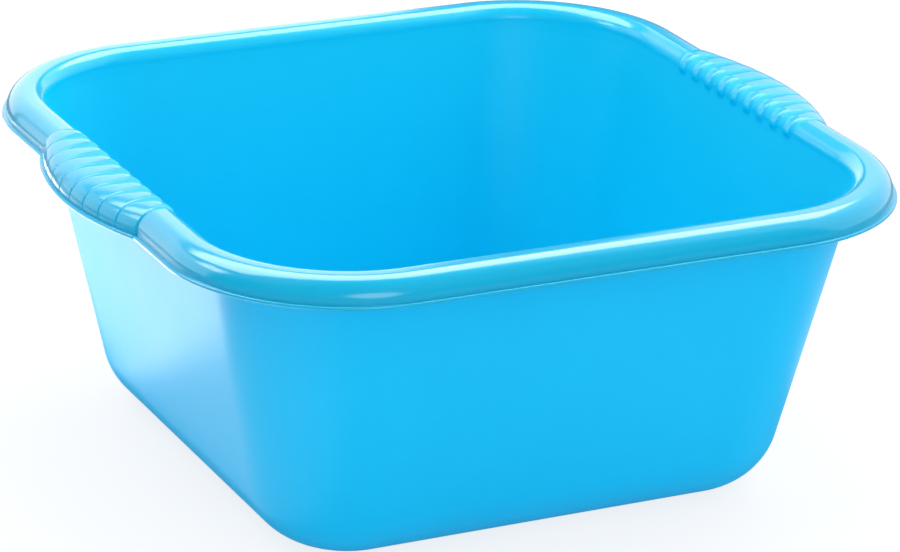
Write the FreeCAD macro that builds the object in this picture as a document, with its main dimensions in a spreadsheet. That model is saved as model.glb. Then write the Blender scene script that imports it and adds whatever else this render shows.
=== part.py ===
"""A square washing-up bowl with a rolled rim and two ribbed grips, in millimetres.

The bowl stands on the XY plane with its centre on the Z axis. The grips are on the -X and +X sides
and the front is at -Y. It is one moulding in polypropylene, drawn here in the regions that its tool
is cut in: floor, wall, the rim in front and behind, and the grip on either side.
"""
import FreeCAD, Part
import os

import Sketcher

doc = FreeCAD.newDocument("WashingUpBowl")

# Driving dimensions
SIZES = [
    ("lip_width", 360.0, "across the lip, the same both ways"),
    ("lip_corner_radius", 85.0, "outer edge of the lip, in plan"),
    ("rim_height", 160.0, "table to the top of the plain rim"),
    ("wall_thickness", 2.0, "wall, rim and skirt, measured level"),
    ("base_width", 256.0, "outer wall carried down to the table"),
    ("base_corner_radius", 44.0, "corner of that outline, in plan"),
    ("foot_radius", 35.0, "rounding between wall and base, outside"),
    ("foot_margin", 2.0, "rounding to the floor panel"),
    ("foot_height", 1.2, "table to the underside of the floor panel"),
    ("floor_thickness", 2.4, "floor panel"),
    ("floor_corner_radius", 14.0, "corner of the floor panel, in plan"),
    ("lip_bead_height", 2.3, "bead along the lower edge of the lip"),
    ("lip_bead_step", 1.4, "how far the bead stands out from the skirt"),
    ("skirt_height", 0.8, "straight part of the skirt above the bead"),
    ("skirt_lean", 0.6, "how far the skirt leans in over that height"),
    ("shoulder_radius", 9.5, "outer shoulder of the rim"),
    ("rim_flat", 2.5, "flat along the top of the rim"),
    ("roll_radius", 7.5, "inner roll of the rim"),
    ("neck_lean", 1.0, "how far the neck under the roll leans in"),
    ("grip_bulge", 12.0, "how far a grip swells out past the lip"),
    ("grip_step", 1.0, "how far it stands out past the lip at its ends"),
    ("rib_count", 9, "ribs on each grip"),
    ("rib_pitch", 13.0, "rib to rib along the grip"),
    ("rib_height", 1.0, "rib above the rim, outside and on top"),
    ("rib_tail_height", 0.7, "rib above the inner roll"),
    ("rib_tail_drop", 1.5, "tail of a rib below the inner roll"),
    ("groove_width", 1.2, "gap between two ribs, outside"),
    ("finger_gap", 7.3, "gap between the tails of two ribs"),
    ("cut_overrun", 5.0, "how far a cut runs past the solid"),
]

sheet = doc.addObject("Spreadsheet::Sheet", "Sizes")
for row, (alias, number, meaning) in enumerate(SIZES, start=1):
    sheet.set(f"A{row}", alias)
    sheet.set(f"B{row}", str(number))
    sheet.set(f"C{row}", meaning)
    sheet.setAlias(f"B{row}", alias)
doc.recompute()


class Size:
    """A length held twice: as the expression that binds it and as its value now."""

    def __init__(self, text, value):
        self.text = text
        self.value = value

    def _with(self, sign, other, value):
        text = other.text if isinstance(other, Size) else str(other)
        return Size(f"({self.text} {sign} {text})", value)

    def __add__(self, other):
        return self._with("+", other, self.value + amount(other))

    def __sub__(self, other):
        return self._with("-", other, self.value - amount(other))

    def __mul__(self, other):
        return self._with("*", other, self.value * amount(other))

    def __truediv__(self, other):
        return self._with("/", other, self.value / amount(other))


def amount(item):
    """The number behind a Size or a plain number."""
    return item.value if isinstance(item, Size) else item


def cell(alias):
    """The named cell of the sheet as a Size."""
    return Size(f"Sizes.{alias}", float(sheet.get(alias)))


# Sizes that follow from the driving ones
ZERO = Size("0", 0.0)
THICK = cell("wall_thickness")
RIM_TOP = cell("rim_height")
LIP_HALF = cell("lip_width") / 2
SHOULDER = cell("shoulder_radius")
ROLL = cell("roll_radius")
BEAD = cell("lip_bead_height")
BULGE = cell("grip_bulge")
RIB = cell("rib_height")
TAIL = cell("rib_tail_height")

LIP_LOW = RIM_TOP - SHOULDER - cell("skirt_height") - BEAD
SHOULDER_LOW = RIM_TOP - SHOULDER
ROLL_LOW = RIM_TOP - ROLL
SKIRT_IN = cell("lip_bead_step") + cell("skirt_lean")
SHOULDER_IN = SKIRT_IN + SHOULDER
ROLL_IN = SHOULDER_IN + cell("rim_flat")
RIM_WIDTH = ROLL_IN + ROLL
WALL_INSET = RIM_WIDTH + cell("neck_lean") - THICK
GRIP_HALF = cell("rib_pitch") * cell("rib_count") / 2

BASE_HALF = cell("base_width") / 2
BASE_CORNER = cell("base_corner_radius")
WALL_TOP_HALF = LIP_HALF - WALL_INSET
WALL_TOP_CORNER = cell("lip_corner_radius") - WALL_INSET
FLOOR_TOP = cell("foot_height") + cell("floor_thickness")
FLOOR_HALF = BASE_HALF - cell("foot_radius") - cell("foot_margin")

# Share of a shape's height within which an edge counts as level
LEVEL_SHARE = 0.001


def new_body(label):
    """An empty body that carries a node's name."""
    body = doc.addObject("PartDesign::Body", label)
    body.Label = label
    return body


def plane_of(body, role):
    """One of the body's own origin planes."""
    return next(item for item in body.Origin.OriginFeatures if item.Role == role)


def new_sketch(body, name, role, offset=None):
    """A sketch on an origin plane, moved along the plane's normal by offset."""
    sketch = body.newObject("Sketcher::SketchObject", name)
    sketch.AttachmentSupport = [(plane_of(body, role), "")]
    sketch.MapMode = "FlatFace"
    if offset is not None:
        sketch.setExpression("AttachmentOffset.Base.z", offset.text)
    return sketch


def bind(sketch, kind, geometry, position, size, name):
    """Fixes one coordinate of a point, measured from the sketch's origin."""
    index = sketch.addConstraint(Sketcher.Constraint(kind, -1, 1, geometry, position, size.value))
    sketch.renameConstraint(index, name)
    sketch.setExpression(f"Constraints.{name}", size.text)


def arc_edge(start, end, centre):
    """A circular edge from start to end the short way round, and whether it runs backwards."""
    turn = (start - centre).cross(end - centre).z
    first, last = (start, end) if turn > 0 else (end, start)
    axis_x = FreeCAD.Vector(1, 0, 0)
    axis_z = FreeCAD.Vector(0, 0, 1)
    angles = [axis_x.getAngle(point - centre) for point in (first, last)]
    angles = [-angle if point.y < centre.y else angle for angle, point in zip(angles, (first, last))]
    circle = Part.Circle(centre, axis_z, (start - centre).Length)
    return Part.ArcOfCircle(circle, angles[0], angles[1]), turn < 0


def draw(sketch, corners, centres, closed=True):
    """Draws straight and round edges through corners given as pairs of sizes.

    centres names the round edges: the number of the edge's first corner, and its centre.
    """
    places = [FreeCAD.Vector(x.value, y.value, 0) for x, y in corners]
    count = len(corners) if closed else len(corners) - 1
    ends = []
    for number in range(count):
        start, end = places[number], places[(number + 1) % len(corners)]
        if number in centres:
            centre_x, centre_y = centres[number]
            edge, backwards = arc_edge(start, end, FreeCAD.Vector(centre_x.value, centre_y.value, 0))
        else:
            edge, backwards = Part.LineSegment(start, end), False
        geometry = sketch.addGeometry(edge, False)
        ends.append((geometry, 2, 1) if backwards else (geometry, 1, 2))
    for number, (geometry, first, last) in enumerate(ends):
        if number + 1 < count or closed:
            following, follow_first, _ = ends[(number + 1) % count]
            sketch.addConstraint(Sketcher.Constraint("Coincident", geometry, last, following, follow_first))
        bind(sketch, "DistanceX", geometry, first, corners[number][0], f"x{number}")
        bind(sketch, "DistanceY", geometry, first, corners[number][1], f"y{number}")
        if number in centres:
            bind(sketch, "DistanceX", geometry, 3, centres[number][0], f"centre{number}")
    if not closed:
        geometry, _, last = ends[-1]
        bind(sketch, "DistanceX", geometry, last, corners[-1][0], f"x{count}")
        bind(sketch, "DistanceY", geometry, last, corners[-1][1], f"y{count}")


def rounded_square(body, name, half, radius, height):
    """A level square outline with round corners, centred on the Z axis."""
    sketch = new_sketch(body, name, "XY_Plane", height)
    flat = half - radius
    signs = [(1, -1), (1, 1), (-1, 1), (-1, -1)]
    corners = []
    centres = {}
    for number, (sx, sy) in enumerate(signs):
        side_first = (half * sx, flat * sy)
        side_last = (flat * sx, half * sy)
        centres[2 * number] = (flat * sx, flat * sy)
        corners += [side_first, side_last] if sx * sy > 0 else [side_last, side_first]
    draw(sketch, corners, centres)
    return sketch


def loft(body, kind, name, sketches, ruled):
    """A loft through two or more sketches of the body."""
    feature = body.newObject(f"PartDesign::{kind}", name)
    feature.Profile = sketches[0]
    feature.Sections = sketches[1:]
    feature.Ruled = ruled
    return feature


def level_edges(shape, height):
    """The names of the edges that lie at one height."""
    slack = shape.BoundBox.ZLength * LEVEL_SHARE
    return [f"Edge{number}" for number, edge in enumerate(shape.Edges, start=1)
            if abs(edge.BoundBox.ZMin - height) < slack and abs(edge.BoundBox.ZMax - height) < slack]


def round_edges(body, name, feature, height, radius):
    """Rounds the edges of a feature that lie at one height."""
    doc.recompute()
    fillet = body.newObject("PartDesign::Fillet", name)
    fillet.Base = (feature, level_edges(feature.Shape, height.value))
    fillet.setExpression("Radius", radius.text)
    return fillet


def make_wall():
    """The four drafted sides with their round corners and the rounded foot that they stand on."""
    body = new_body("basin_wall")
    outer = [rounded_square(body, "WallTop", WALL_TOP_HALF, WALL_TOP_CORNER, LIP_LOW),
             rounded_square(body, "WallFoot", BASE_HALF, BASE_CORNER, ZERO)]
    loft(body, "AdditiveLoft", "WallBlock", outer, True)

    rise = FLOOR_TOP / LIP_LOW
    low_half = BASE_HALF + (WALL_TOP_HALF - BASE_HALF) * rise - THICK
    low_corner = BASE_CORNER + (WALL_TOP_CORNER - BASE_CORNER) * rise - THICK
    inner = [rounded_square(body, "CavityTop", WALL_TOP_HALF - THICK, WALL_TOP_CORNER - THICK, LIP_LOW),
             rounded_square(body, "CavityFoot", low_half, low_corner, FLOOR_TOP)]
    cavity = loft(body, "SubtractiveLoft", "Cavity", inner, True)
    rounded = round_edges(body, "CavityRounding", cavity, FLOOR_TOP, cell("foot_radius") - THICK)
    round_edges(body, "FootRounding", rounded, ZERO, cell("foot_radius"))

    opening = rounded_square(body, "FloorOpening", FLOOR_HALF, cell("floor_corner_radius"), ZERO)
    pocket = body.newObject("PartDesign::Pocket", "FloorCut")
    pocket.Profile = opening
    pocket.Type = "ThroughAll"
    pocket.Reversed = True
    return body


def make_floor():
    """The flat floor panel, held a little above the table by the foot."""
    body = new_body("basin_floor")
    outline = rounded_square(body, "FloorOutline", FLOOR_HALF, cell("floor_corner_radius"),
                             cell("foot_height"))
    pad = body.newObject("PartDesign::Pad", "FloorPanel")
    pad.Profile = outline
    pad.setExpression("Length", cell("floor_thickness").text)
    return body


def rim_section(swell):
    """The rim cut across: lip bead, skirt, shoulder, flat, roll and neck, swollen outwards by swell.

    Each corner is its distance in from the edge of the lip, and its height.
    """
    corners = [
        (swell * -1, LIP_LOW),
        (swell * -1, LIP_LOW + BEAD),
        (cell("lip_bead_step") - swell, LIP_LOW + BEAD),
        (SKIRT_IN - swell, SHOULDER_LOW),
        (SHOULDER_IN - swell, RIM_TOP),
        (ROLL_IN, RIM_TOP),
        (RIM_WIDTH, ROLL_LOW),
        (WALL_INSET + THICK, LIP_LOW),
        (WALL_INSET, LIP_LOW),
        (RIM_WIDTH - THICK, ROLL_LOW),
        (ROLL_IN, RIM_TOP - THICK),
        (SHOULDER_IN - swell, RIM_TOP - THICK),
        (SKIRT_IN + THICK - swell, SHOULDER_LOW),
        (THICK - swell, LIP_LOW),
    ]
    shoulder = (SHOULDER_IN - swell, SHOULDER_LOW)
    roll = (ROLL_IN, ROLL_LOW)
    return corners, {3: shoulder, 5: roll, 9: roll, 11: shoulder}


def rib_section(swell):
    """The ribs cut along their crest: over the skirt, shoulder and roll, and rooted inside the rim."""
    root = THICK / 2
    bead_middle = LIP_LOW + BEAD / 2
    tail_low = ROLL_LOW - cell("rib_tail_drop")
    corners = [
        (SKIRT_IN - RIB - swell, bead_middle),
        (SKIRT_IN - RIB - swell, SHOULDER_LOW),
        (SHOULDER_IN - swell, RIM_TOP + RIB),
        (ROLL_IN, RIM_TOP + TAIL),
        (RIM_WIDTH + TAIL, ROLL_LOW),
        (RIM_WIDTH + TAIL, tail_low),
        (RIM_WIDTH - root, tail_low),
        (RIM_WIDTH - root, ROLL_LOW),
        (ROLL_IN, RIM_TOP - root),
        (SHOULDER_IN - swell, RIM_TOP - root),
        (SKIRT_IN + root - swell, SHOULDER_LOW),
        (cell("lip_bead_step") - swell, bead_middle),
    ]
    shoulder = (SHOULDER_IN - swell, SHOULDER_LOW)
    roll = (ROLL_IN, ROLL_LOW)
    return corners, {1: shoulder, 3: roll, 7: roll, 9: shoulder}


def section_sketch(body, name, side, station, section):
    """Draws a section of the rim across one side of the bowl, at a station along that side."""
    sketch = new_sketch(body, name, "XZ_Plane", station * -1)
    corners, centres = section
    placed = [((LIP_HALF - inset) * side, height) for inset, height in corners]
    placed_centres = {edge: ((LIP_HALF - inset) * side, height) for edge, (inset, height) in centres.items()}
    draw(sketch, placed, placed_centres)
    return sketch


def make_rim(label, end):
    """The rim along one end of the bowl, from grip to grip round two corners."""
    body = new_body(label)
    radius = cell("lip_corner_radius")
    flat = LIP_HALF - radius
    path = new_sketch(body, f"{label}_path", "XY_Plane")
    corners = [
        (LIP_HALF * -1, GRIP_HALF * end),
        (LIP_HALF * -1, flat * end),
        (flat * -1, LIP_HALF * end),
        (flat, LIP_HALF * end),
        (LIP_HALF, flat * end),
        (LIP_HALF, GRIP_HALF * end),
    ]
    draw(path, corners, {1: (flat * -1, flat * end), 3: (flat, flat * end)}, closed=False)
    start = GRIP_HALF * end
    section = section_sketch(body, f"{label}_section", -1, start, rim_section(ZERO))
    pipe = body.newObject("PartDesign::AdditivePipe", f"{label}_sweep")
    pipe.Profile = section
    pipe.Spine = (path, [f"Edge{number}" for number in range(1, len(corners))])
    return body


def swollen_loft(body, name, side, section):
    """A loft along a grip: it stands out by a step at both ends and swells in the middle."""
    end = section(cell("grip_step"))
    stations = [("Far", GRIP_HALF, end), ("Middle", ZERO, section(BULGE)), ("Near", GRIP_HALF * -1, end)]
    sketches = [section_sketch(body, name + place, side, station, shape)
                for place, station, shape in stations]
    return loft(body, "AdditiveLoft", name, sketches, False)


def make_grip(label, side):
    """The swollen part of the rim on one side, with ribs across it that end in tails inside the bowl.

    The grooves between the ribs are narrow out to the grip's edge and widen inwards from the lip's line.
    """
    body = new_body(label)
    swollen_loft(body, f"{label}_ribs", side, rib_section)

    groove = new_sketch(body, f"{label}_groove", "XY_Plane")
    outside = (LIP_HALF + BULGE + cell("cut_overrun")) * side
    lip_line = LIP_HALF * side
    inside = (LIP_HALF - RIM_WIDTH - TAIL - cell("cut_overrun")) * side
    first = cell("rib_pitch") - GRIP_HALF
    narrow = cell("groove_width") / 2
    wide = cell("finger_gap") / 2
    draw(groove, [(outside, first - narrow), (lip_line, first - narrow), (inside, first - wide),
                  (inside, first + wide), (lip_line, first + narrow), (outside, first + narrow)], {})
    pocket = body.newObject("PartDesign::Pocket", f"{label}_groove_cut")
    pocket.Profile = groove
    pocket.Type = "ThroughAll"
    pocket.Reversed = True
    pattern = body.newObject("PartDesign::LinearPattern", f"{label}_grooves")
    pattern.Originals = [pocket]
    pattern.Direction = (groove, ["V_Axis"])
    pattern.setExpression("Length", (cell("rib_pitch") * (cell("rib_count") - 2)).text)
    pattern.setExpression("Occurrences", (cell("rib_count") - 1).text)
    body.Tip = pattern

    swollen_loft(body, f"{label}_rim", side, rim_section)
    return body


nodes = [
    make_wall(),
    make_floor(),
    make_rim("front_rim", -1),
    make_rim("back_rim", 1),
    make_grip("left_grip", -1),
    make_grip("right_grip", 1),
]
doc.recompute()

for item in doc.Objects:
    if "Invalid" in item.State or "Error" in item.State:
        raise RuntimeError(f"{item.Label} did not compute: {item.State}")
os.makedirs("parts", exist_ok=True)
for node in nodes:
    if node.Shape.isNull() or not node.Shape.isValid() or len(node.Shape.Solids) != 1:
        raise RuntimeError(f"{node.Label} is not one valid solid")
for node in nodes:
    node.Shape.exportStep(f"parts/{node.Label}.step")
    box = node.Shape.BoundBox
    print(f"{node.Label}: {node.Shape.Volume / 1000:.1f} cm3, {box.XLength:.1f} x {box.YLength:.1f}"
          f" x {box.ZLength:.1f} mm, {len(node.Shape.Faces)} faces")
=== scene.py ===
"""A square washing-up bowl in blue polypropylene, dressed over its solids, in metres with Z up."""

import math

import bmesh
import bpy
import numpy as np
from mathutils import Matrix, Vector


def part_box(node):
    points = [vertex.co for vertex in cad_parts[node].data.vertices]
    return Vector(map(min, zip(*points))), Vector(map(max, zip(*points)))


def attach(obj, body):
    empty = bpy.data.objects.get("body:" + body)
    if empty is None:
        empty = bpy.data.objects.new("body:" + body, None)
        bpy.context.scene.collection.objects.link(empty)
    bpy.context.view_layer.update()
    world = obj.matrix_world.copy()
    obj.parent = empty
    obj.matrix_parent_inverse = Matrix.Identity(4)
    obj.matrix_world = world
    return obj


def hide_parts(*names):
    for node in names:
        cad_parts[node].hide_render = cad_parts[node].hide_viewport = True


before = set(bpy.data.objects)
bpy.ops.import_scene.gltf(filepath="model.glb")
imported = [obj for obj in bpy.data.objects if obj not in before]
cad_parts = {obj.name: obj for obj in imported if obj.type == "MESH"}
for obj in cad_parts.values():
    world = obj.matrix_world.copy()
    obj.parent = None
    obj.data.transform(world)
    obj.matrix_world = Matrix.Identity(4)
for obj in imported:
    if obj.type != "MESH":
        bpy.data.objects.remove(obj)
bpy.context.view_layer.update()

# Basin
# Four drafted sides with round corners over a flat floor, moulded with the rim in one shot of blue
# polypropylene. The sides have the satin finish of the tool, and a narrow band at the foot touches the table.
_, wall_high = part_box("basin_wall")
floor_low, floor_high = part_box("basin_floor")
WALL_TOP = wall_high.z
WALL_HALF = wall_high.x
FLOOR_HALF = floor_high.x
FLOOR_UNDER = floor_low.z
FLOOR_TOP = floor_high.z
THICK = 0.002
WALL_CORNER = 0.0645
BASE_HALF = 0.128
BASE_CORNER = 0.044
FOOT_RADIUS = 0.035
FLOOR_CORNER = 0.014
SIDE_STEPS = 24
CORNER_STEPS = 28
FOOT_STEPS = 24
PANEL_SHARES = (0.04, 0.35, 0.7, 1.0)
SIDE_SHARES = (1.0, 0.97, 0.75, 0.5, 0.25, 0.04)
SHARP = math.radians(35)
INSIDE_BLUE = (0.0, 0.53, 0.79, 1.0)
# Painted glow: the outside is painted lighter and bluer, for light shining through the thin wall
OUTSIDE_GLOW_BLUE = (0.0, 0.50, 0.90, 1.0)
# Painted shade: the rim is painted a deeper blue than the walls
RIM_SHADE_BLUE = (0.0, 0.40, 0.66, 1.0)
SATIN = 0.42
SMOOTH = 0.2
GLOSS = 0.15
REFRACTION = 1.49
SHINE = 0.14
# Sizes of the flow marks, the clouding and the grain, and how much each changes the plastic
FLOW_SCALE = (90.0, 90.0, 3.0)
FLOW_DETAIL = 3.0
CLOUD_SCALE = 14.0
CLOUD_DETAIL = 2.0
GRAIN_SCALE = 1600.0
GRAIN_DETAIL = 2.0
NOISE_MIDDLE = 0.5
TONE_LOW = 0.96
TONE_CLOUD = 0.05
TONE_FLOW = 0.02
ROUGH_FLOW = 0.06
ROUGH_GRAIN = 0.05
BUMP_GRAIN = 0.12
BUMP_DEPTH = 0.0002
POLISH_EVENS = 0.75


class Wire:
    """A node socket that takes Python's arithmetic: each operator adds a Math node to its tree."""

    def __init__(self, tree, socket=None):
        self.tree = tree
        self.socket = socket

    def node(self, kind, settings=(), sockets=(), output=0):
        """Adds a node: its settings first, then the values or links of its sockets."""
        added = self.tree.nodes.new(kind)
        for name, value in dict(settings).items():
            setattr(added, name, value)
        for name, value in dict(sockets).items():
            if isinstance(value, Wire):
                self.tree.links.new(value.socket, added.inputs[name])
            else:
                added.inputs[name].default_value = value
        return Wire(self.tree, added.outputs[output] if added.outputs else None)

    def math(self, operation, *values):
        """Adds a Math node on numbers or sockets."""
        return self.node("ShaderNodeMath", {"operation": operation}, enumerate(values))

    def __add__(self, other):
        return self.math("ADD", self, other)

    __radd__ = __add__

    def __sub__(self, other):
        return self.math("SUBTRACT", self, other)

    def __rsub__(self, other):
        return self.math("SUBTRACT", other, self)

    def __mul__(self, other):
        return self.math("MULTIPLY", self, other)

    __rmul__ = __mul__

    def __truediv__(self, other):
        return self.math("DIVIDE", self, other)


def polypropylene():
    """Blue plastic with faint flow marks. A mesh's attributes say where it is polished, where its blue is
    painted lighter as a glow of light shining through the thin wall, and where it is painted deeper as shade
    on the rim.
    """
    material = bpy.data.materials.new("blue_polypropylene")
    material.use_nodes = True
    tree = material.node_tree
    shader = tree.nodes["Principled BSDF"]
    start = Wire(tree)
    polish, outside, rim = (start.node("ShaderNodeAttribute", {"attribute_name": name}, output="Fac")
                            for name in ("polish", "outside", "rim"))
    place = start.node("ShaderNodeTexCoord", output="Object")
    drawn = start.node("ShaderNodeMapping", {}, {"Vector": place, "Scale": FLOW_SCALE})
    flow, cloud, grain = (
        start.node("ShaderNodeTexNoise", {}, {"Vector": vector, "Scale": scale, "Detail": detail})
        for vector, scale, detail in ((drawn, 1.0, FLOW_DETAIL), (place, CLOUD_SCALE, CLOUD_DETAIL),
                                      (place, GRAIN_SCALE, GRAIN_DETAIL)))
    wall = start.node("ShaderNodeMix", {"data_type": "RGBA"},
                      {"Factor": outside, "A": INSIDE_BLUE, "B": OUTSIDE_GLOW_BLUE}, 2)
    blue = start.node("ShaderNodeMix", {"data_type": "RGBA"}, {"Factor": rim, "A": wall, "B": RIM_SHADE_BLUE}, 2)
    tone = TONE_LOW + cloud * TONE_CLOUD + flow * TONE_FLOW
    tint = start.node("ShaderNodeVectorMath", {"operation": "SCALE"}, {"Vector": blue, "Scale": tone})
    matt = 1 - polish * POLISH_EVENS
    uneven = (flow - NOISE_MIDDLE) * ROUGH_FLOW + (grain - NOISE_MIDDLE) * ROUGH_GRAIN
    rough = SATIN - polish * (SATIN - SMOOTH) + uneven * matt
    bump = start.node("ShaderNodeBump", {},
                      {"Strength": BUMP_GRAIN, "Distance": BUMP_DEPTH, "Height": grain * matt})
    wires = {"Base Color": tint, "Roughness": rough, "Coat Weight": polish, "Normal": bump}
    for name, wire in wires.items():
        tree.links.new(wire.socket, shader.inputs[name])
    for name, value in {"IOR": REFRACTION, "Specular IOR Level": SHINE, "Coat Roughness": GLOSS}.items():
        shader.inputs[name].default_value = value
    return material


def square_ring(half, corner):
    """Points round a square with round corners and the way out at each, as many for every size."""
    flat = half - corner
    along = np.linspace(-flat, flat, SIDE_STEPS, endpoint=False)
    turn = np.linspace(0, math.pi / 2, CORNER_STEPS, endpoint=False)
    side = np.stack([np.full_like(along, half), along], 1)
    side_ways = np.tile((1.0, 0.0), (SIDE_STEPS, 1))
    corner_ways = np.stack([np.cos(turn), np.sin(turn)], 1)
    points = np.concatenate([side, flat + corner * corner_ways])
    ways = np.concatenate([side_ways, corner_ways])
    quarter = np.array([[0, 1], [-1, 0]])
    turns = [np.linalg.matrix_power(quarter, number) for number in range(4)]
    return np.concatenate([points @ t for t in turns]), np.concatenate([ways @ t for t in turns])


def level(ring, height):
    """A ring of plan points at one height, or at a height for each point."""
    return np.column_stack([ring, np.broadcast_to(height, len(ring))])


def drafted_side(top, top_height, foot, foot_ways, foot_height, radius):
    """Rows from the top of a drafted side down to its flat foot, with a rounding between the two."""
    rise = top_height - foot_height
    spread = ((top - foot) * foot_ways).sum(1)
    slide = (top - foot) - spread[:, None] * foot_ways
    lean = np.arctan2(spread, rise)
    tangent = radius * np.tan((math.pi / 2 - lean) / 2)
    join = radius * (1 - np.sin(lean))
    rows = []
    for share in SIDE_SHARES:
        up = join + (rise - join) * share
        rows.append(level(foot + (top - foot) * (up / rise)[:, None], foot_height + up))
    for share in np.linspace(1, 0, FOOT_STEPS + 1):
        angle = (math.pi / 2 - lean) * share
        up = radius * (1 - np.cos(angle))
        out = radius * np.sin(angle) - tangent
        rows.append(level(foot + out[:, None] * foot_ways + slide * (up / rise)[:, None], foot_height + up))
    return rows


def skin(name, rows):
    """A closed mesh over rows of points: each row is a ring, and the first and last are capped."""
    count, width = len(rows), len(rows[0])
    index = np.arange(count * width).reshape(count, width)
    following = np.roll(index, -1, 1)
    quads = np.stack([index[:-1], following[:-1], following[1:], index[1:]], -1).reshape(-1, 4)
    mesh = bpy.data.meshes.new(name)
    caps = [index[0].tolist(), index[-1].tolist()]
    mesh.from_pydata(np.concatenate(rows).tolist(), [], quads.tolist() + caps)
    work = bmesh.new()
    work.from_mesh(mesh)
    bmesh.ops.recalc_face_normals(work, faces=work.faces)
    work.to_mesh(mesh)
    work.free()
    mesh.shade_smooth()
    mesh.set_sharp_from_angle(angle=SHARP)
    piece = bpy.data.objects.new(name, mesh)
    bpy.context.scene.collection.objects.link(piece)
    return piece


def mark(piece, attribute, values):
    """Gives each point of a piece a value for its material or its nodes to read."""
    piece.data.attributes.new(attribute, "FLOAT", "POINT")
    piece.data.attributes[attribute].data.foreach_set("value", values.astype(np.float32))


def keep(piece, *nodes):
    """Hangs a finished piece on the bowl's one body, in place of the solids that it dresses."""
    piece.data.materials.clear()
    piece.data.materials.append(plastic)
    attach(piece, "root")
    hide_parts(*nodes)


floor_ring, _ = square_ring(FLOOR_HALF, FLOOR_CORNER)
outer_top, _ = square_ring(WALL_HALF, WALL_CORNER)
outer_foot, outer_ways = square_ring(BASE_HALF, BASE_CORNER)
inner_top, _ = square_ring(WALL_HALF - THICK, WALL_CORNER - THICK)
floor_share = FLOOR_TOP / WALL_TOP
inner_foot, inner_ways = square_ring(BASE_HALF + (WALL_HALF - BASE_HALF) * floor_share - THICK,
                                     BASE_CORNER + (WALL_CORNER - BASE_CORNER) * floor_share - THICK)
outside = drafted_side(outer_top, WALL_TOP, outer_foot, outer_ways, 0.0, FOOT_RADIUS)
inside = drafted_side(inner_top, WALL_TOP, inner_foot, inner_ways, FLOOR_TOP, FOOT_RADIUS - THICK)
underside = [level(floor_ring * share, FLOOR_UNDER) for share in PANEL_SHARES]
recess = [level(floor_ring, 0.0)]
panel = [inside[-1] * (share, share, 1.0) for share in reversed(PANEL_SHARES[:-1])]
basin_rows = underside + recess + outside[::-1] + inside + panel
basin = skin("basin", basin_rows)
inner_rows = len(inside) + len(panel)
row_sides = np.repeat((1.0, 0.0), (len(basin_rows) - inner_rows, inner_rows))
# The outer side is painted a lighter blue, a painted glow of light shining through the thin wall
mark(basin, "outside", np.repeat(row_sides, len(floor_ring)))
plastic = polypropylene()
keep(basin, "basin_wall", "basin_floor")

# Rim at the front and at the back
# The wall rolls out over the top and hangs down outside as a skirt with a small bead along its lip.
# It is the same moulding, but this part of the tool is polished: the gloss fades down the inner roll.
front_low, front_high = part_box("front_rim")
_, grip_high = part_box("right_grip")
LIP_HALF = front_high.x
LIP_LOW = front_low.z
RIM_TOP = front_high.z
GRIP_HALF = grip_high.y
LIP_CORNER = 0.085
BEAD_HEIGHT = 0.0016
BEAD_STEP = 0.0018
BEAD_ROUND = 0.0006
SKIRT_LEAN = 0.0002
SHOULDER = 0.0095
RIM_FLAT = 0.0025
ROLL = 0.0075
NECK_LEAN = 0.001
BEAD_STEPS = 4
SHOULDER_STEPS = 18
FLAT_STEPS = 6
ROLL_STEPS = 16
NECK_STEPS = 4
UNDER_STEPS = 8
RUN_STEPS = 6
SWELL_ROUND = 2.5
GLOSS_FADE = 0.0045
SHOULDER_LOW = RIM_TOP - SHOULDER
ROLL_LOW = RIM_TOP - ROLL
SKIRT_IN = BEAD_STEP + SKIRT_LEAN
SHOULDER_IN = SKIRT_IN + SHOULDER
ROLL_IN = SHOULDER_IN + RIM_FLAT
RIM_WIDTH = ROLL_IN + ROLL
NECK_IN = RIM_WIDTH + NECK_LEAN


def arc(centre, radius, start, end, steps):
    """Points on a round from one angle to another, in degrees, across the rim."""
    angles = np.radians(np.linspace(start, end, steps + 1))
    return np.asarray(centre) + radius * np.stack([np.cos(angles), np.sin(angles)], 1)


def rim_section(swell):
    """The rim cut across, as distances in from the lip and heights, swollen outwards by swell.

    The outer skin comes first, from the bead's foot over the top to the neck, and then the underside.
    """
    shoulder = (SHOULDER_IN, SHOULDER_LOW)
    roll = (ROLL_IN, ROLL_LOW)
    top = np.linspace((SHOULDER_IN, RIM_TOP), (ROLL_IN, RIM_TOP), FLAT_STEPS + 1)
    neck = np.linspace((RIM_WIDTH, ROLL_LOW), (NECK_IN, LIP_LOW), NECK_STEPS + 1)
    outer = [
        arc((BEAD_ROUND, LIP_LOW + BEAD_ROUND), BEAD_ROUND, 270, 180, BEAD_STEPS),
        arc((BEAD_ROUND, LIP_LOW + BEAD_HEIGHT - BEAD_ROUND), BEAD_ROUND, 180, 90, BEAD_STEPS),
        [(BEAD_STEP, LIP_LOW + BEAD_HEIGHT)],
        arc(shoulder, SHOULDER, 180, 90, SHOULDER_STEPS),
        top[1:-1],
        arc(roll, ROLL, 90, 0, ROLL_STEPS),
        neck[1:],
    ]
    under = [
        [(NECK_IN - THICK, LIP_LOW)],
        arc(roll, ROLL - THICK, 0, 90, UNDER_STEPS),
        arc(shoulder, SHOULDER - THICK, 90, 180, UNDER_STEPS),
        [(THICK, LIP_LOW)],
    ]
    sections = []
    for points in (np.concatenate(outer), np.concatenate(under)):
        inward = np.clip((points[:, 0] - SKIRT_IN) / (ROLL_IN - SKIRT_IN), 0, 1)
        points[:, 0] -= swell * (1 - inward ** SWELL_ROUND)
        sections.append(points)
    return sections


def across(place, way, section):
    """Stands a section of the rim on the lip's outline, at one place and facing one way out."""
    plan = np.asarray(place) - section[:, :1] * np.asarray(way)
    return np.column_stack([plan, section[:, 1]])


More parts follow.
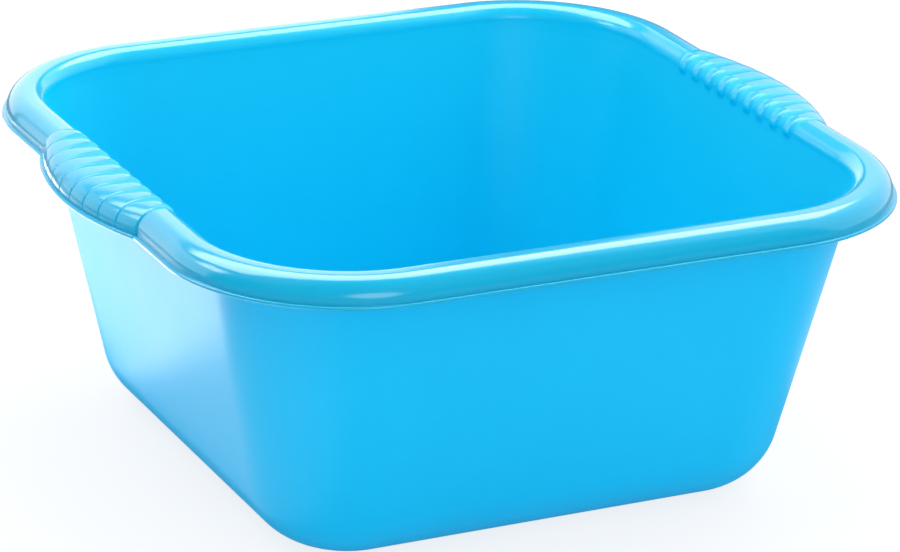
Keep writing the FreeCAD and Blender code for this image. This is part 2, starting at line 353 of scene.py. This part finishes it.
def rim_path(end):
    """Places along the lip from the left grip round two corners to the right one, and the ways out."""
    flat = LIP_HALF - LIP_CORNER
    run = np.linspace(GRIP_HALF, flat, RUN_STEPS, endpoint=False)
    turn = np.linspace(0, math.pi / 2, CORNER_STEPS + 1)
    front = np.linspace(0, flat, SIDE_STEPS // 2, endpoint=False)
    half = [((LIP_HALF, y), (1.0, 0.0)) for y in run]
    for angle in turn:
        way = np.array([math.cos(angle), math.sin(angle)])
        half.append((flat + LIP_CORNER * way, way))
    half += [((x, LIP_HALF), (0.0, 1.0)) for x in front[::-1]]
    right = [(np.multiply(place, (1, end)), np.multiply(way, (1, end))) for place, way in half]
    left = [(np.multiply(place, (-1, 1)), np.multiply(way, (-1, 1))) for place, way in right]
    return left + right[-2::-1]


plain_outer, plain_under = rim_section(0.0)
plain_section = np.concatenate([plain_outer, plain_under])
# The rim's deeper blue is painted shade; it fades into the wall's blue down the inner roll and covers the
# underside
down_roll = np.interp(plain_outer[:, 0], (ROLL_IN, RIM_WIDTH), (1.0, 0.0))
rim_shade_ring = np.concatenate([down_roll, np.ones(len(plain_under))])
glossy = np.interp(plain_outer[:, 1], (ROLL_LOW, ROLL_LOW + GLOSS_FADE), (0.0, 1.0))
glossy[plain_outer[:, 0] < ROLL_IN] = 1.0
gloss_ring = np.concatenate([glossy, np.ones(len(plain_under))])


def finish(piece, count, gloss):
    """Marks how well each point of a piece of the rim is polished, and how much of the rim's deeper blue, a
    painted shade, it has.
    """
    for attribute, ring in (("polish", gloss), ("rim", rim_shade_ring)):
        mark(piece, attribute, np.tile(ring, count))


for name, node, end in (("rim_front", "front_rim", -1), ("rim_back", "back_rim", 1)):
    path = rim_path(end)
    rim = skin(name, [across(place, way, plain_section) for place, way in path])
    finish(rim, len(path), gloss_ring)
    keep(rim, node)

# Grips
# On the left and right the rim swells outwards for a hand to take hold. Nine ribs cross each grip: broad
# bands with fine grooves outside, which turn over the top into soft ridges and end bluntly on the inner roll.
RIB_COUNT = 9
RIB_PITCH = 2 * GRIP_HALF / RIB_COUNT
GRIP_STEP = 0.00025
END_STEP = 0.0002
BULGE = grip_high.x - LIP_HALF
RIB_CROWN = 0.3
# Each stop is a distance along the skin from the top of the bead, and a rib's size or polish there
RISE_STOPS = ((0.0, 0.0), (0.0005, 0.0004), (0.014, 0.0004), (0.019, 0.0006), (0.024, 0.0009),
              (0.0309, 0.0012), (0.0322, 0.0))
GAP_STOPS = ((0.0, 0.0004), (0.011, 0.0004), (0.015, 0.0012), (0.019, 0.003), (0.024, 0.0034),
             (0.032, 0.0036))
SOFT_STOPS = ((0.0, 0.0003), (0.011, 0.0003), (0.015, 0.0011), (0.019, 0.002), (0.024, 0.0013),
              (0.032, 0.001))
POLISH_STOPS = ((0.016, 0.75), (0.021, 0.85), (0.0309, 0.85), (0.0322, 0.0))


def rib_tree():
    """Nodes that lift ribs off a smooth grip, along its own normals, and leave the grooves dull."""
    tree = bpy.data.node_groups.new("grip_ribs", "GeometryNodeTree")
    kinds = {"Geometry": "Geometry", "Pitch": "Float", "Crown": "Float", "Material": "Material"}
    for socket, kind in kinds.items():
        tree.interface.new_socket(socket, in_out="INPUT", socket_type=f"NodeSocket{kind}")
    tree.interface.new_socket("Geometry", in_out="OUTPUT", socket_type="NodeSocketGeometry")
    start = Wire(tree)
    given = tree.nodes.new("NodeGroupInput")
    smooth, pitch, crown, material = (Wire(tree, given.outputs[name]) for name in kinds)
    rise, gap, soft, polish = (
        start.node("GeometryNodeInputNamedAttribute", {"data_type": "FLOAT"}, {"Name": name})
        for name in ("rise", "gap", "soft", "polish"))
    place = start.node("GeometryNodeInputPosition")
    along = start.node("ShaderNodeSeparateXYZ", {}, {"Vector": place}, "Y")
    off_centre = start.math("ABSOLUTE", along - start.math("ROUND", along / pitch) * pitch)
    from_groove = pitch / 2 - off_centre
    body = start.node("ShaderNodeMapRange", {"interpolation_type": "SMOOTHSTEP"},
                      {"Value": from_groove, "From Min": gap - soft, "From Max": gap + soft})
    bow = off_centre * 2 / pitch
    lift = rise * body * (1 - crown * bow * bow)
    normal = start.node("GeometryNodeInputNormal")
    offset = start.node("ShaderNodeVectorMath", {"operation": "SCALE"}, {"Vector": normal, "Scale": lift})
    dulled = start.node("GeometryNodeStoreNamedAttribute", {"data_type": "FLOAT", "domain": "POINT"},
                        {"Geometry": smooth, "Name": "polish", "Value": polish * body})
    ribbed = start.node("GeometryNodeSetPosition", {}, {"Geometry": dulled, "Offset": offset})
    whole = start.node("GeometryNodeRealizeInstances", {}, {"Geometry": ribbed})
    dressed = start.node("GeometryNodeSetMaterial", {}, {"Geometry": whole, "Material": material})
    given_back = tree.nodes.new("NodeGroupOutput")
    tree.links.new(dressed.socket, given_back.inputs["Geometry"])
    return tree


def set_inputs(modifier, values):
    """Sets a tree's named inputs on a modifier, through their identifiers."""
    for item in modifier.node_group.interface.items_tree:
        if item.in_out == "INPUT" and item.name in values:
            modifier[item.identifier] = values[item.name]


def grip(name, node, side, tree):
    """One swollen stretch of the rim with its ribs."""
    stations = np.linspace(-GRIP_HALF, GRIP_HALF, round(2 * GRIP_HALF / GRIP_STEP) + 1)
    rows = []
    for y in stations:
        swell = BULGE - (BULGE - END_STEP) * (y / GRIP_HALF) ** 2
        rows.append(across((LIP_HALF * side, y), (side, 0.0), np.concatenate(rim_section(swell))))
    piece = skin(name, rows)
    # The bead's two rounds come first in the section, and the ribs start above them
    bead_top = 2 * (BEAD_STEPS + 1)
    steps = np.linalg.norm(np.diff(plain_outer[bead_top:], axis=0), axis=1)
    travel = np.concatenate([np.zeros(bead_top + 1), np.cumsum(steps)])
    gloss = np.interp(travel, *zip(*POLISH_STOPS))
    finish(piece, len(rows), np.concatenate([gloss, np.zeros(len(plain_under))]))
    for attribute, stops in (("rise", RISE_STOPS), ("gap", GAP_STOPS), ("soft", SOFT_STOPS)):
        sizes = np.interp(travel, *zip(*stops))
        mark(piece, attribute, np.tile(np.concatenate([sizes, np.zeros(len(plain_under))]), len(rows)))
    ribs = piece.modifiers.new("ribs", "NODES")
    ribs.node_group = tree
    set_inputs(ribs, {"Pitch": RIB_PITCH, "Crown": RIB_CROWN, "Material": plastic})
    made = bpy.data.meshes.new_from_object(piece.evaluated_get(bpy.context.evaluated_depsgraph_get()))
    piece.modifiers.clear()
    piece.data = made
    for attribute in ("rise", "gap", "soft"):
        made.attributes.remove(made.attributes[attribute])
    keep(piece, node)


ribs_tree = rib_tree()
grip("grip_left", "left_grip", -1, ribs_tree)
grip("grip_right", "right_grip", 1, ribs_tree)

# Floor
# A plain white sheet, wide enough to fill the view and the bowl's reflections, which keeps a soft shadow.
# The bowl mirrors it dimly.
FLOOR_REACH = 6.0
FLOOR_WHITE = (0.9, 0.9, 0.9, 1.0)
# Shares of even glow in the sheet as it lights the bowl, as the camera sees it and as the bowl mirrors it,
# and how bright that glow is in the mirror
FLOOR_EVEN = 0.4
FLOOR_SEEN = 0.8
FLOOR_DIM = 0.9
FLOOR_GREY = 0.15

floor_mesh = bpy.data.meshes.new("floor")
floor_corners = [(x * FLOOR_REACH, y * FLOOR_REACH, 0.0) for x, y in ((-1, -1), (1, -1), (1, 1), (-1, 1))]
floor_mesh.from_pydata(floor_corners, [], [(0, 1, 2, 3)])
floor = bpy.data.objects.new("floor", floor_mesh)
bpy.context.scene.collection.objects.link(floor)


def ray_kind(tree, kind):
    """A socket that is 1 for rays of one kind, such as Camera, and 0 for the others."""
    return Wire(tree).node("ShaderNodeLightPath", output=f"Is {kind} Ray")


paper = bpy.data.materials.new("white_paper")
paper.use_nodes = True
paper_tree = paper.node_tree
paper_tree.nodes.clear()
sheet = Wire(paper_tree)
seen = ray_kind(paper_tree, "Camera")
mirrored = ray_kind(paper_tree, "Glossy") + ray_kind(paper_tree, "Transmission")
lit = sheet.node("ShaderNodeBsdfDiffuse", {}, {"Color": FLOOR_WHITE})
glow = sheet.node("ShaderNodeEmission", {}, {"Color": 1 - mirrored * (1 - FLOOR_GREY), "Strength": 1.0})
plain = FLOOR_EVEN + seen * (FLOOR_SEEN - FLOOR_EVEN) + mirrored * (FLOOR_DIM - FLOOR_EVEN)
shown = sheet.node("ShaderNodeMixShader", {}, {0: plain, 1: lit, 2: glow})
sheet.node("ShaderNodeOutputMaterial", {}, {"Surface": shown})
floor_mesh.materials.append(paper)

# Light
# A white room with soft boxes all round, brightest above and behind. White boards lie on the floor on the
# left and right, where the bowl's sides mirror them.
ROOM_FILL = 0.25
ROOM_MIRRORED = 0.15
LIGHT_AIM = Vector((0.0, 0.0, 0.1))
# A lamp that is mirrored stands this far before the one that lights, so that neither hides the other
GLEAM_AHEAD = 0.02

world = bpy.data.worlds.new("white_room")
bpy.context.scene.world = world
world.use_nodes = True
world.node_tree.nodes.clear()
room = Wire(world.node_tree)
mirrored = ray_kind(world.node_tree, "Glossy") + ray_kind(world.node_tree, "Transmission")
strength = ROOM_FILL + ray_kind(world.node_tree, "Camera") * (1.0 - ROOM_FILL)
strength += mirrored * (ROOM_MIRRORED - ROOM_FILL)
walls = room.node("ShaderNodeBackground", {}, {"Color": (1.0, 1.0, 1.0, 1.0), "Strength": strength})
room.node("ShaderNodeOutputWorld", {}, {"Surface": walls})


def soft_box(name, shape, place, aim, size, brightness, mirrored):
    """An area lamp that faces a point, so many times as bright as plain white, and lights or is mirrored."""
    lamp = bpy.data.lights.new(name, "AREA")
    lamp.shape = shape
    lamp.size, lamp.size_y = size
    area = size[0] * size[1] * (math.pi / 4 if shape == "ELLIPSE" else 1.0)
    lamp.energy = brightness * math.pi * area
    box = bpy.data.objects.new(name, lamp)
    bpy.context.scene.collection.objects.link(box)
    box.location = place
    box.rotation_euler = (aim - place).to_track_quat("-Z", "Y").to_euler()
    box.visible_camera = False
    box.visible_diffuse = not mirrored
    box.visible_glossy = mirrored


# Each lamp's name and shape, its direction from the bowl in degrees round and up, how far it stands from
# the bowl, its width and height in metres, and how bright it is as a light and as the bowl mirrors it
LAMPS = (
    ("top_box", "RECTANGLE", 80, 89, 1.4, 1.6, 1.2, 1.1, 0.0),
    ("high_back_box", "RECTANGLE", 80, 66, 1.4, 2.2, 1.0, 1.5, 6.0),
    ("back_box", "RECTANGLE", 90, 27, 1.7, 1.5, 1.5, 1.2, 0.0),
    ("back_screen", "RECTANGLE", 90, 10, 1.7, 1.5, 1.5, 0.0, 1.4),
    ("back_right_box", "RECTANGLE", 40, 35, 1.3, 0.9, 0.9, 1.0, 0.0),
    ("left_back_box", "RECTANGLE", 143, 12, 1.3, 1.1, 1.0, 0.0, 1.6),
    ("right_box", "ELLIPSE", 4, 32, 1.3, 2.0, 1.5, 1.8, 0.0),
    ("right_reflector", "ELLIPSE", 4, 22, 1.0, 2.2, 2.2, 0.0, 0.9),
    ("front_box", "ELLIPSE", 262, 14, 1.3, 0.65, 0.5, 2.8, 2.8),
    ("high_front_box", "RECTANGLE", 285, 40, 1.4, 1.2, 1.0, 1.1, 0.0),
    ("high_left_box", "RECTANGLE", 178, 52, 1.4, 1.0, 0.8, 2.6, 0.0),
    ("left_window", "RECTANGLE", 160, 33, 1.3, 0.4, 0.3, 0.0, 6.0),
    ("front_left_box", "RECTANGLE", 222, 20, 1.3, 0.9, 0.9, 0.45, 0.0),
)
# Each board's name and middle, its width and depth, and how bright the bowl mirrors it
BOARDS = (
    ("back_board", (-0.25, 0.35, 0.001), (0.2, 0.5), 5.6),
    ("far_board", (-0.47, 0.44, 0.001), (0.22, 0.6), 0.9),
    ("left_board", (-0.22, -0.05, 0.001), (0.16, 0.36), 1.5),
    ("right_board", (0.28, 0.06, 0.001), (0.14, 0.32), 0.9),
)

for name, shape, azimuth, elevation, distance, width, height, light, gleam in LAMPS:
    turn, tilt = math.radians(azimuth), math.radians(elevation)
    way = Vector((math.cos(turn) * math.cos(tilt), math.sin(turn) * math.cos(tilt), math.sin(tilt)))
    for ending, brightness, far in (("light", light, distance), ("gleam", gleam, distance - GLEAM_AHEAD)):
        if brightness:
            place = LIGHT_AIM + way * far
            size = width, height
            soft_box(f"{name}_{ending}", shape, place, LIGHT_AIM, size, brightness, ending == "gleam")
for name, place, size, gleam in BOARDS:
    soft_box(name, "RECTANGLE", Vector(place), Vector(place) + Vector((0.0, 0.0, 1.0)), size, gleam, True)

# Camera
# A long lens, a little above the rim and to the left of the front, framed as the photograph is.
IMAGE_WIDTH = 900
IMAGE_HEIGHT = 552
AZIMUTH = math.radians(-26.103)
ELEVATION = math.radians(21.530)
ROLL_TURN = math.radians(1.594)
DISTANCE = 2.0563
AIM = Vector((0.0, 0.0, 0.063))
FOCAL_PIXELS = 4273.9
CENTRE_PIXEL = (436.21, 315.70)

lens = bpy.data.cameras.new("camera")
lens.sensor_fit = "HORIZONTAL"
lens.lens = FOCAL_PIXELS * lens.sensor_width / IMAGE_WIDTH
lens.shift_x = (IMAGE_WIDTH / 2 - CENTRE_PIXEL[0]) / IMAGE_WIDTH
lens.shift_y = (CENTRE_PIXEL[1] - IMAGE_HEIGHT / 2) / IMAGE_WIDTH
camera = bpy.data.objects.new("camera", lens)
bpy.context.scene.collection.objects.link(camera)
back = Vector((math.sin(AZIMUTH) * math.cos(ELEVATION), -math.cos(AZIMUTH) * math.cos(ELEVATION),
               math.sin(ELEVATION)))
level_right = Vector((math.cos(AZIMUTH), math.sin(AZIMUTH), 0.0))
level_up = back.cross(level_right)
right = math.cos(ROLL_TURN) * level_right + math.sin(ROLL_TURN) * level_up
up = math.cos(ROLL_TURN) * level_up - math.sin(ROLL_TURN) * level_right
turn = Matrix((right, up, back)).transposed()
camera.matrix_world = Matrix.Translation(AIM + back * DISTANCE) @ turn.to_4x4()
bpy.context.scene.camera = camera
bpy.context.scene.view_settings.view_transform = "Standard"
